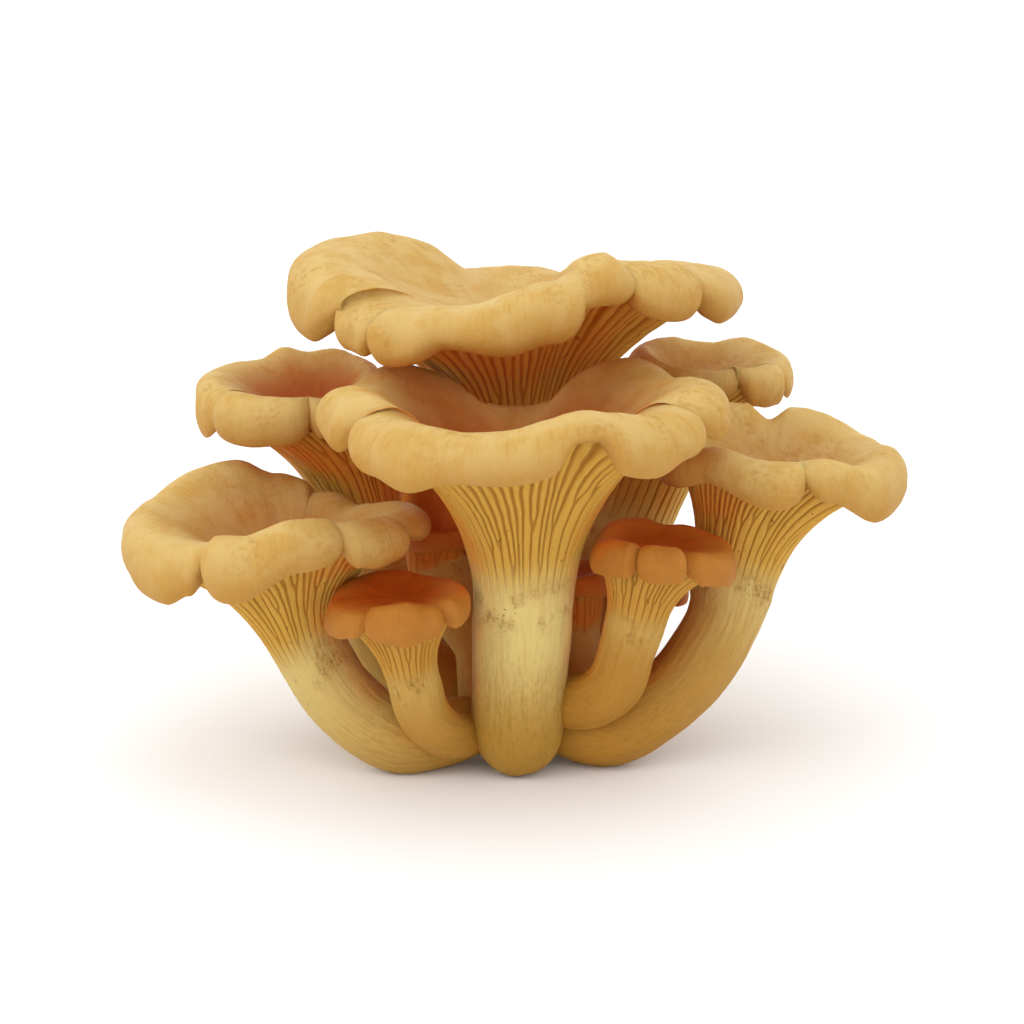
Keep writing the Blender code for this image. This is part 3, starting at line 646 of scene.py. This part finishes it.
def fleshMaterial(name, look):
    # Fresh chanterelle flesh: dense, waxy and slightly see-through, with a dry skin like
    # suede. Light goes a millimetre or two in and comes out redder, and gloss is faint.
    material = bpy.data.materials.new(name)
    material.use_nodes = True
    tree = material.node_tree
    tree.nodes.clear()
    add = partial(addNode, tree)
    paint = {key: hexColour(value) for key, value in look.items()
             if isinstance(value, str)}

    stem, funnel, cap, ridge, fleck, shade, stain, throatShade = [
        add("ShaderNodeAttribute", settings={"attribute_name": key}, out="Fac")
        for key in ("stemPlace", "funnelPlace", "capPlace", "ridge", "fleck", "shade",
                    "stain", "throatShade")]
    follows = dict(place=add("ShaderNodeTexCoord", out="Object"),
                   fibre=add("ShaderNodeAttribute", out="Vector",
                             settings={"attribute_name": "fibre"}))
    noise = {}
    for key, (space, stretch, detail, offset) in skinNoises.items():
        offset += look["offset"]
        moved = add("ShaderNodeMapping", inputs={
            "Vector": follows[space], "Scale": stretch,
            "Location": (offset, offset * 0.7, offset * 0.3)})
        noise[key] = add("ShaderNodeTexNoise", inputs={
            "Vector": moved, "Scale": 1.0, "Detail": detail, "Roughness": 0.6})

    # Cap: pale gold, with hair-fine streaks in patches and smudges; darker and more golden
    # towards the rim's lower edge, partly its own deeper gold and partly painted shade; the
    # dish painted redder as shade towards the throat.
    streaks = add("times", add("ramp", noise["hair"], 0.44, 0.66),
                  add("ramp", noise["broad"], 0.38, 0.62, 0.25, 1.0))
    smudges = add("times", add("ramp", noise["smudge"], 0.46, 0.66),
                  add("ramp", noise["blotch"], 0.44, 0.64))
    # The rim's lower edge: partly its own deeper gold, partly painted shade where it turns
    # away from the light.
    rolled = add("times", add("ramp", funnel, 1.95, 1.35), look["rimGoldAndShadeShare"])
    # Towards the throat the dish is painted redder as shade, by each mushroom's own share,
    # most on those standing under the others.
    inward = add("ramp", add("plus", cap, add("times", noise["blotch"], 0.25)), 1.08, 1.7)
    skin = paint["capPale"]
    for share, key in ((add("ramp", noise["broad"], 0.36, 0.68, 0.0, 0.75), "capGold"),
                       (add("times", streaks, 0.4), "streak"), (rolled, "roll"),
                       (add("times", smudges, 0.34), "smudge"),
                       (add("times", inward, throatShade), "throat")):
        skin = add("tint", share, skin, paint[key])

    # Underside: ridge backs painted lighter as highlight and the grooves painted darker as
    # shade, with a few dark pits.
    pits = add("ramp", noise["pits"], 0.735, 0.765)
    under = paint["hollow"]
    for share, key in ((add("ramp", ridge, 0.12, 0.7), "ridgeBackLit"),
                       (add("times", add("ramp", noise["fine"], 0.45, 0.72), 0.4),
                        "streak"),
                       (add("times", pits, 0.75), "speck")):
        under = add("tint", share, under, paint[key])

    # Stem: pale just below the ridges, ochre and flecked towards the foot.
    lower = add("plus", stem, add("timesPlus", noise["stemStreak"], 0.5, -0.25))
    flecked = add("times", add("ramp", noise["mottle"], 0.42, 0.70),
                  add("ramp", lower, 0.95, 0.25, 0.05, 0.38))
    wash = add("times", add("ramp", noise["stemStreak"], 0.50, 0.68),
               add("ramp", stem, 1.0, 0.4, 0.1, 0.5))
    stalk = paint["foot"]
    for share, key in ((add("ramp", lower, 0.22, 0.86), "stemPale"),
                       (add("times", stain, add("ramp", lower, 1.25, 0.7)), "stain"),
                       (flecked, "footBrown"), (wash, "stain")):
        stalk = add("tint", share, stalk, paint[key])

    ragged = add("plus", funnel, add("timesPlus", noise["fine"], 0.16, -0.08))
    colour = add("tint", add("ramp", ragged, 0.02, 0.28), stalk, under)
    colour = add("tint", add("ramp", funnel, 1.06, 1.26), colour, skin)

    # Collar: fine brown specks in a few patches where the ridges end, and raised scales.
    # Last, painted shade: places closed in by neighbours are tinted deep red-orange.
    band = add("times", add("ramp", stem, 0.87, 0.98), add("ramp", funnel, 0.20, 0.04))
    patch = add("times", band, add("ramp", noise["patch"], 0.50, 0.66))
    specks = add("times", patch, add("ramp", noise["dots"], 0.46, 0.60))
    # Painted shade goes most on the ridged underside, less near the rim and on the stem,
    # and by its own share on the skin.
    flesh = add("smaller", add("ramp", funnel, 0.0, 0.3, 0.45, 0.9),
                add("ramp", funnel, 0.5, 1.0, 0.9, 0.4))
    redder = add("blend", add("ramp", funnel, 1.06, 1.5), flesh, look["skinShade"])
    closed = add("times", add("ramp", shade, look["shadeFrom"], look["shadeTo"]), redder)
    for share, key in ((add("times", patch, 0.3), "smudge"),
                       (add("times", specks, 0.45), "speck"),
                       (add("times", fleck, 0.8), "scale"), (closed, "deepShade")):
        colour = add("tint", share, colour, paint[key])

    # Bump: dry suede grain, and the streaks' own fibres.
    uneven = add("timesPlus", noise["hair"], 0.8,
                 add("timesPlus", noise["fine"], 0.6, noise["grain"]))
    bump = add("ShaderNodeBump", inputs={"Strength": 0.55, "Distance": 0.00024,
                                         "Height": uneven})
    shine = add("ramp", noise["blotch"], 0.3, 0.7, look["roughness"] - 0.06,
                look["roughness"] + 0.06)
    shader = add("ShaderNodeBsdfPrincipled", inputs={
        "Base Color": colour, "Roughness": shine, "Normal": bump, "IOR": 1.4,
        "Specular IOR Level": 0.22, "Subsurface Weight": look["depth"],
        "Subsurface Radius": (1.0, 0.42, 0.12), "Subsurface Scale": 0.0024})
    result = tree.nodes.new("ShaderNodeOutputMaterial")
    tree.links.new(shader, result.inputs["Surface"])
    return material


# Two finishes: the plain one for open mushrooms, and a darker, redder copy with painted
# shade for the small ones that stand in the others' shade.
goldenLook = dict(
    capPale="#D1B16E", capGold="#C79E4E", streak="#BC8C36", roll="#AD7B30",
    smudge="#A66F2A", throat="#A84A10", ridgeBackLit="#C99C42", hollow="#A87426",
    stemPale="#D8C27A", foot="#AC8232", footBrown="#86601F", stain="#AD7828",
    speck="#785522", scale="#9C7433", deepShade="#EC6B1A",
    # The first two shares below paint shade: on the rim's lower edge, with its own deeper
    # gold, and on closed-in skin; the next pair sets where the painted shade in closed-in
    # places starts and ends.
    rimGoldAndShadeShare=0.75, skinShade=0.34,     # how much of the roll's and of the shade's colour
    shadeFrom=0.15, shadeTo=0.90,       # how closed in a place is where that starts, ends
    roughness=0.62, depth=0.28,         # the share of light that goes into the flesh
    offset=0.0,
)
shadedLook = dict(goldenLook, capPale="#BC7C30", capGold="#AC6C24", streak="#A4621E",
                  roll="#A9702A", throat="#963F0C", ridgeBackLit="#C2913C",
                  stemPale="#CBA85C", skinShade=0.8, offset=5.0)
goldenFlesh = fleshMaterial("chanterelleFleshGolden", goldenLook)
shadedFlesh = fleshMaterial("chanterelleFleshShaded", shadedLook)
reliefTree = fleshTree()
print("flesh ready")


def growBody(one):
    body = buildBody(one)
    shape = one["shape"]
    modifier = body.modifiers.new("relief", "NODES")
    modifier.node_group = reliefTree
    sockets = {item.name: item.identifier for item in reliefTree.interface.items_tree
               if item.in_out == "INPUT"}
    for key, setting in (("Ridges", float(shape["ridges"])),
                         ("Short Share", relief["shortShare"]),
                         ("Wrinkle Depth", shape["wrinkle"] * mm),
                         ("Scale Size", relief["scaleSize"] * mm),
                         ("Scale Density", relief["scaleDensity"] / mm ** 2),
                         ("Seed", shape["seed"]),
                         ("Flesh", one["material"])):
        modifier[sockets[key]] = setting
    graph = bpy.context.evaluated_depsgraph_get()
    mesh = bpy.data.meshes.new_from_object(body.evaluated_get(graph), depsgraph=graph)
    bpy.data.objects.remove(body, do_unlink=True)
    mesh.name = one["name"]
    piece = bpy.data.objects.new(one["name"], mesh)
    bpy.context.scene.collection.objects.link(piece)
    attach(piece, "root")
    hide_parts(one["node"])
    triangles = sum(len(face.vertices) - 2 for face in mesh.polygons)
    print("grown:", one["name"], triangles, "triangles")
    return triangles


# The upright one in front.
frontMushroom = dict(
    stem=[(0.4, -6.8, 0, 8.9), (0.4, -6.4, 8, 9.3), (0.7, -5.4, 20, 9.5),
          (1.3, -5, 35, 10.0)],
    standing=True, footRound=1.0, centre=(0.5, -5), throat=64, stain=0.0, throatShade=0.8,
    ridges=82, ridgeLimit=0.62, wrinkle=0.55, seed=3,
    turns=656, stemStep=1.5, funnelRings=46, rollRings=38, topRings=36,
    dents=[(197, 0.66, 1.3, 4.0, 0.18), (226, 0.62, 1.3, 4.0, 0.22)],
    rim=[(190, 39.4, 80, 71), (202, 38.8, 79.6, 69), (215, 35.4, 78, 74.4, "foldAfter"),
         (227, 40.6, 77.2, 67.2), (239, 41.5, 77, 65.6), (252, 40.5, 76, 67.8, "dip"),
         (266, 41, 77, 67.8), (279, 41, 78.8, 69.6), (286, 39.5, 79.8, 75, "dip"),
         (292.5, 39, 80, 75, "dip"), (299, 40.7, 79.5, 68.8), (310, 41, 78.5, 67.4),
         (322, 41, 78, 69.6), (332, 37, 78.4, 74.6, "foldBefore"), (346, 41.4, 80.4, 70.4),
         (0, 41, 80.6, 72.2), (22, 36.5, 79, 74, "dip"), (43, 37.5, 81.3, 74.5),
         (58, 30, 78.5, 73), (68, 21, 73, 69.3, "dip"), (95, 20.5, 72, 68.6),
         (115, 21, 73, 69.3, "dip"), (127, 33, 78, 73), (143, 38, 80.3, 74),
         (165, 36.5, 77.3, 73.5, "dip")])
plant("mushroomFront", "mushroom_front", frontMushroom, goldenFlesh, "golden_flesh")

# The largest, behind it.
topMushroom = dict(
    stem=[(0, 27, 0, 10.5), (-0.5, 27.3, 10, 11.6), (-0.5, 29.5, 25, 10.6),
          (0, 36.3, 47.5, 9.4)],
    standing=True, footRound=1.2, centre=(0, 38), throat=89, stain=0.4, throatShade=0.1,
    ridges=88, ridgeLimit=0.75, wrinkle=0.6, seed=11,
    turns=656, stemStep=2.2, funnelRings=42, rollRings=40, topRings=38,
    dents=[(200, 0.66, 2.0, 6.0, 0.16), (225, 0.6, 1.2, 2.6, 0.20),
           (241, 0.66, 1.5, 3.4, 0.20)],
    rim=[(178, 48, 101.8, 92.5), (196, 48.8, 99.4, 85.4), (205, 48, 97.8, 84.2),
         (217.5, 43.6, 95.4, 91, "foldAfter"), (222.5, 46, 92.8, 83.7),
         (227.5, 46, 92.5, 83), (232, 44.0, 92.5, 87, "foldAfter"), (238, 46.6, 93, 81.8),
         (245, 46.8, 93.4, 83), (252, 45.4, 93.6, 86, "dip"), (267, 46.4, 96.4, 85),
         (279, 45.4, 98.5, 87.2), (288, 43.8, 100.8, 93, "pinch"),
         (297, 45.4, 104.2, 94.4), (304.5, 43.2, 100.8, 96.2, "foldAfter"),
         (316, 47, 101.5, 90), (323, 43.6, 100, 94.8, "foldBefore"),
         (335, 48.4, 99.2, 87.9), (358, 48, 98, 88.8), (20, 42.4, 97, 90, "dip"),
         (45, 38.4, 96, 88.5), (68, 34, 92, 86, "pinch"), (92, 35, 94, 85.5),
         (114, 35, 93.5, 87.4, "dip"), (130, 38.4, 99.8, 91.5), (152, 42.5, 102.8, 94.5)])
plant("mushroomTop", "mushroom_top", topMushroom, goldenFlesh, "golden_flesh")

# Broad one at lower left, its stem lying out along the ground.
leftLowerMushroom = dict(
    stem=[(-5, 3, 8.4, 4.4), (-9, 0.5, 7.7, 6.0), (-14.5, -2.2, 7.2, 7.1),
          (-23, -5.4, 7.3, 7.5), (-30.4, -4.5, 10.8, 7.4), (-36.2, -3.3, 16.1, 7.4),
          (-39.8, -2.1, 21.6, 7.3)],
    standing=False, centre=(-48, 3), throat=43.5, stain=0.35, throatShade=0.45,
    ridges=76, ridgeLimit=0.5, wrinkle=0.45, seed=21,
    turns=528, stemStep=1.8, funnelRings=36, rollRings=34, topRings=32,
    rim=[(180, 31.2, 53, 44.5), (205, 31.4, 52.3, 41.5), (218, 31.8, 51.3, 39.8),
         (230, 31.2, 50.8, 39.1), (239, 29.8, 50.8, 41.2),
         (248.5, 27.6, 51.6, 48.6, "foldAfter"), (259, 31.5, 53.3, 41),
         (284, 31, 56.5, 47), (299, 28, 54.5, 51, "foldBefore"), (308, 30.6, 54.8, 46.3),
         (316, 31.2, 54.7, 45.7), (324, 31.2, 54.5, 46.2),
         (333, 28.5, 52.5, 49.5, "foldBefore"), (351, 31, 53.5, 47.5),
         (12, 29.5, 53, 48, "dip"), (30, 25, 51.5, 46.5), (50, 25, 49.8, 45.5, "dip"),
         (63, 25.5, 51.8, 45.5), (76, 24.5, 51, 46.2, "pinch"), (97, 26, 55.3, 47),
         (120, 27.5, 58.6, 49.5), (148, 28.3, 57, 48.5), (163, 29, 54.4, 47.2, "dip")])
plant("mushroomLeftLower", "mushroom_left_lower", leftLowerMushroom, goldenFlesh,
      "golden_flesh")

# Broad one at right, on a thick stem that curves up.
rightLowerMushroom = dict(
    stem=[(5, 3, 8.4, 4.4), (9.5, 0.5, 7.7, 6.2), (16, -1.4, 7.35, 7.4),
          (22.1, -1.7, 8.6, 7.6), (32.8, 0.5, 15.7, 7.5), (38.6, 3, 22.1, 7.6),
          (42.7, 5.5, 29, 7.7), (44.2, 7, 34, 8.5)],
    standing=False, centre=(55.3, 10), underRim=(0.79, 0.40), throat=57,
    stain=0.75, throatShade=0.25,
    ridges=76, ridgeLimit=0.48, wrinkle=0.45, seed=31,
    turns=528, stemStep=1.8, funnelRings=36, rollRings=34, topRings=32,
    rim=[(180, 26.8, 64.3, 57.3), (205, 26.8, 65.6, 57.8), (222, 24.6, 66.6, 59.8, "dip"),
         (256, 24.5, 65, 56), (269, 21.4, 64.8, 61.0, "foldBefore"),
         (283, 23.5, 65.3, 57.5), (310, 25.3, 63.5, 52.6), (336, 24.4, 63.3, 54.3),
         (0, 24, 64, 56.6), (20, 23.8, 63.6, 57.6, "dip"), (36, 24, 64.4, 58),
         (60, 22.5, 68, 60), (80, 21, 68.9, 60.6), (97, 20, 66.5, 61, "dip"),
         (113, 21.5, 70, 61), (135, 22, 70.3, 61), (160, 23, 67, 59, "dip")])
plant("mushroomRightLower", "mushroom_right_lower", rightLowerMushroom, goldenFlesh,
      "golden_flesh")

# Upper left, behind, its throat painted deep red as shade.
leftUpperMushroom = dict(
    stem=[(-3, 24, 8, 5.2), (-9, 25, 8.4, 7.2), (-17, 27, 9.8, 8.6), (-25.4, 29, 15, 9.1),
          (-30.2, 31, 23, 9.8), (-31.1, 33.5, 31, 9.4), (-32.2, 35.2, 39.5, 9.0)],
    standing=False, centre=(-46.5, 38), underRim=(0.885, 0.38), throat=66,
    stain=0.3, throatShade=0.9,
    ridges=66, ridgeLimit=0.45, wrinkle=0.4, seed=41,
    turns=448, stemStep=2.0, funnelRings=34, rollRings=30, topRings=26,
    rim=[(187, 22.3, 74.3, 66.5), (210, 23, 73.4, 62.4),
         (226, 22.4, 73, 65.4, "foldAfter"), (248, 24, 72.8, 62.4),
         (263, 23.8, 72.6, 62.8), (278, 20.4, 72, 67, "foldBefore"), (288, 22.6, 72, 64),
         (306, 19.8, 72.3, 66.6, "dip"), (330, 18.5, 73.5, 68), (5, 18.5, 74.8, 69, "dip"),
         (45, 20, 76, 69), (70, 20.5, 77.2, 69.5), (90, 19.5, 76.3, 70, "dip"),
         (107, 21, 77.4, 69.5), (126, 20, 75.2, 69, "dip"), (150, 22.3, 75, 68),
         (168, 23, 74.2, 68.5, "dip")])
plant("mushroomLeftUpper", "mushroom_left_upper", leftUpperMushroom, goldenFlesh,
      "golden_flesh")

# Upper right, behind.
rightUpperMushroom = dict(
    stem=[(12, 31, 0, 5.4), (12.5, 31, 8, 5.6), (16, 32, 18, 6.0), (19, 34.5, 28, 8.1),
          (23.1, 37.5, 37, 8.8)],
    standing=True, footRound=0.65, centre=(44.8, 47), throat=71.5, stain=0.6, throatShade=0.3,
    ridges=58, ridgeLimit=0.42, wrinkle=0.35, seed=51,
    turns=384, stemStep=2.0, funnelRings=34, rollRings=28, topRings=24,
    rim=[(0, 16, 76.3, 69.3), (340, 15.9, 76.3, 68.2), (321, 15.2, 76.2, 73, "foldBefore"),
         (310, 17.4, 76.2, 68), (301, 17.6, 76.2, 67.8), (291, 17.4, 76.2, 68.2),
         (277, 15.2, 76.3, 73, "foldBefore"), (255, 16, 75.5, 69),
         (228, 17.5, 75.8, 70, "dip"), (200, 20, 77.6, 71), (165, 20.5, 78.5, 71.2),
         (135, 18.5, 79, 71.2), (97, 15.5, 77.6, 70.5, "dip"), (62, 17, 78.6, 70.3),
         (28, 17, 77, 70, "dip")])
plant("mushroomRightUpper", "mushroom_right_upper", rightUpperMushroom, goldenFlesh,
      "golden_flesh")

# Small orange one at the left of the front stem.
smallLeftMushroom = dict(
    stem=[(-5, -1.5, 8.6, 3.8), (-10, -5.4, 7.9, 4.6), (-14.4, -9.4, 9.4, 5.0),
          (-18.2, -12.4, 14.5, 5.1), (-20.2, -13.6, 22, 5.2)],
    standing=False, centre=(-22.6, -14), throat=39, stain=0.65, throatShade=0.9,
    ridges=54, ridgeLimit=0.26, wrinkle=0.25, seed=61,
    turns=448, stemStep=1.1, funnelRings=28, rollRings=28, topRings=22,
    dents=[(241, 1.42, 0.7, 9.0, 0.22), (312, 1.42, 0.7, 9.0, 0.22)],
    rim=[(185, 14.8, 39, 32.3), (212, 14.2, 38.5, 32.6), (229, 13.4, 38.4, 33.4),
         (243, 11.2, 38, 36.2, "foldAfter"), (260, 15, 40.5, 33.8),
         (278, 15.6, 41.2, 33.2), (297, 14.8, 40.2, 34.2),
         (311, 11.4, 38.8, 36.8, "foldBefore"), (328, 14, 40.5, 34.8),
         (350, 13.9, 41, 35.5), (20, 13.4, 41, 36), (60, 12.5, 40.8, 36.2, "dip"),
         (95, 13.3, 41.6, 36.3), (132, 13.6, 41.3, 35.8), (165, 14, 40.3, 34.8, "dip")])
plant("mushroomSmallLeft", "mushroom_small_left", smallLeftMushroom, shadedFlesh,
      "orange_flesh")

# Small orange one at the right of the front stem.
smallRightMushroom = dict(
    stem=[(5, 0, 14.3, 4.6), (11, -4.6, 14.3, 5.4), (16.3, -7.6, 16.2, 5.7),
          (20.2, -8.8, 20.5, 5.8), (22, -9, 26.5, 5.6), (23.4, -9, 32, 5.9)],
    standing=False, centre=(28.2, -9), throat=48, stain=0.85, throatShade=0.9,
    ridges=54, ridgeLimit=0.34, wrinkle=0.25, seed=71,
    turns=448, stemStep=1.1, funnelRings=28, rollRings=28, topRings=22,
    dents=[(246, 1.42, 0.7, 9.0, 0.22), (290, 1.42, 0.7, 9.0, 0.22)],
    rim=[(184, 13.8, 49.5, 43.2), (213, 13.8, 50.8, 43.8), (235, 13.5, 51, 44.2),
         (248, 11.2, 49.3, 46.4, "foldAfter"), (262, 14.4, 51.1, 44),
         (277, 14.2, 50.7, 43.8), (289, 11.4, 48, 45.6, "foldBefore"),
         (305, 14.4, 49, 42.8), (322, 15, 48.4, 42), (345, 15.3, 48, 41.2),
         (10, 14.8, 49, 43.3), (38, 13.3, 49.6, 44.5, "dip"), (58, 13.3, 50, 44.8),
         (80, 12.3, 49.8, 45.6, "dip"), (105, 13.3, 51.2, 45.6), (135, 13.6, 51.3, 45.3),
         (160, 13.3, 50.6, 44.6, "dip")])
plant("mushroomSmallRight", "mushroom_small_right", smallRightMushroom, shadedFlesh,
      "orange_flesh")

# Thin pale stem in the shade at left.
innerLeftMushroom = dict(
    stem=[(-4, 10, 0, 6.4), (-5, 10, 7, 6.6), (-5.6, 9.6, 14, 6.6), (-7, 10, 22, 6.0),
          (-11.8, 13, 29, 6.4), (-15.2, 16, 36, 6.8)],
    standing=True, footRound=0.7, centre=(-15.4, 18), throat=43, stain=0.2, throatShade=0.9,
    ridges=36, ridgeLimit=0.2, wrinkle=0.15, seed=81,
    turns=200, stemStep=1.4, funnelRings=18, rollRings=18, topRings=14,
    rim=[(180, 9, 48.5, 43), (240, 8, 45.6, 41.2), (285, 7.4, 45.4, 41.6, "dip"),
         (330, 8.8, 46.4, 41.4), (15, 9.2, 52, 45, "dip"), (60, 10.6, 56, 49),
         (120, 11, 55.5, 49)])
plant("mushroomInnerLeft", "mushroom_inner_left", innerLeftMushroom, shadedFlesh,
      "orange_flesh")

# Short one in red shade at right.
innerRightMushroom = dict(
    stem=[(5, 12, 0, 6.4), (6.5, 11.8, 7, 6.6), (9.4, 11, 14, 6.6), (11.4, 10.3, 21, 6.2),
          (12, 10, 26, 5.4)],
    standing=True, footRound=0.7, centre=(11.6, 10), throat=36.8, stain=0.5, throatShade=0.9,
    ridges=36, ridgeLimit=0.2, wrinkle=0.15, seed=91,
    turns=200, stemStep=1.3, funnelRings=18, rollRings=18, topRings=14,
    rim=[(0, 8.1, 38.6, 33.6), (318, 7.9, 38.3, 33.2), (285, 7.1, 38, 34, "dip"),
         (240, 6.6, 38.3, 33.8), (190, 7.4, 38.6, 33.8), (140, 8, 39, 33.8),
         (95, 7.6, 38.6, 34.2, "dip"), (45, 8.4, 38.9, 33.8)])
plant("mushroomInnerRight", "mushroom_inner_right", innerRightMushroom, shadedFlesh,
      "orange_flesh")

# Very small one behind, at right.
backRightMushroom = dict(
    stem=[(9, 19, 4.4, 4.0), (14, 18.6, 5.6, 4.1), (19, 18.2, 9.5, 4.0),
          (24, 18.2, 16, 3.9), (27.3, 18.5, 23.5, 4.1)],
    standing=False, centre=(28.4, 18.6), throat=32.9, stain=0.6, throatShade=0.9,
    ridges=36, ridgeLimit=0.2, wrinkle=0.15, seed=101,
    turns=200, stemStep=1.3, funnelRings=18, rollRings=18, topRings=14,
    rim=[(0, 8.1, 34.3, 28.8), (320, 7.6, 34.3, 29), (292, 6.8, 34.3, 30, "dip"),
         (255, 8, 34.8, 29.6), (205, 7.8, 35, 30), (165, 7, 34.6, 30.6, "dip"),
         (120, 8.2, 35.2, 30), (75, 7.4, 34.6, 30.2, "dip"), (35, 8, 34.6, 29.4)])
plant("mushroomBackRight", "mushroom_back_right", backRightMushroom, shadedFlesh,
      "orange_flesh")
print("planted:", len(cluster), "mushrooms")

shadeCluster()
print("shade found")
print("total:", sum(growBody(one) for one in cluster), "triangles")

# Pale table, white studio, and the camera low in front with a long lens.
studio = dict(floorSize=400.0, floorColour="#FCFCFC", worldStrength=1.17,
              keyPower=2.1, keySize=0.6, keyPlace=(-0.85, -0.6, 0.72),
              fillPower=0.6, fillSize=0.7, fillPlace=(0.1, -0.1, 1.2),
              cameraDistance=426.7, cameraTilt=13.5, cameraLens=75.0,
              target=(-0.8, 0.0, 52.7))


def buildStudio():
    half = studio["floorSize"] / 2
    mesh = bpy.data.meshes.new("floor")
    mesh.from_pydata([(-half, -half, 0), (half, -half, 0), (half, half, 0),
                      (-half, half, 0)], [], [(0, 1, 2, 3)])
    floor = bpy.data.objects.new("floor", mesh)
    bpy.context.scene.collection.objects.link(floor)
    paint = bpy.data.materials.new("paintedTable")      # matt white paint, no gloss
    paint.use_nodes = True
    shader = paint.node_tree.nodes["Principled BSDF"]
    shader.inputs["Base Color"].default_value = hexColour(studio["floorColour"])
    shader.inputs["Roughness"].default_value = 0.9
    shader.inputs["Specular IOR Level"].default_value = 0.1
    mesh.materials.append(paint)

    world = bpy.data.worlds.new("studio")
    world.use_nodes = True
    sky = world.node_tree.nodes["Background"]
    sky.inputs["Color"].default_value = (1.0, 1.0, 1.0, 1.0)
    sky.inputs["Strength"].default_value = studio["worldStrength"]
    bpy.context.scene.world = world

    target = Vector(((np.array(studio["target"]) - middle) * mm).tolist())
    for name in ("key", "fill"):
        light = bpy.data.lights.new(name, "AREA")
        light.energy = studio[name + "Power"]
        light.shape = "DISK"
        light.size = studio[name + "Size"]
        lamp = bpy.data.objects.new(name, light)
        lamp.location = studio[name + "Place"]
        lamp.rotation_euler = (target - lamp.location).to_track_quat("-Z", "Y").to_euler()
        bpy.context.scene.collection.objects.link(lamp)

    camera = bpy.data.cameras.new("camera")
    camera.lens = studio["cameraLens"]
    camera.clip_start = 0.01
    camera.clip_end = 1000.0
    eye = bpy.data.objects.new("camera", camera)
    tilt = math.radians(studio["cameraTilt"])
    eye.location = target + studio["cameraDistance"] * mm * Vector(
        (0.0, -math.cos(tilt), math.sin(tilt)))
    eye.rotation_euler = (math.pi / 2 - tilt, 0.0, 0.0)
    bpy.context.scene.collection.objects.link(eye)
    bpy.context.scene.camera = eye
    bpy.context.scene.view_settings.view_transform = "Standard"


buildStudio()
print("studio ready")
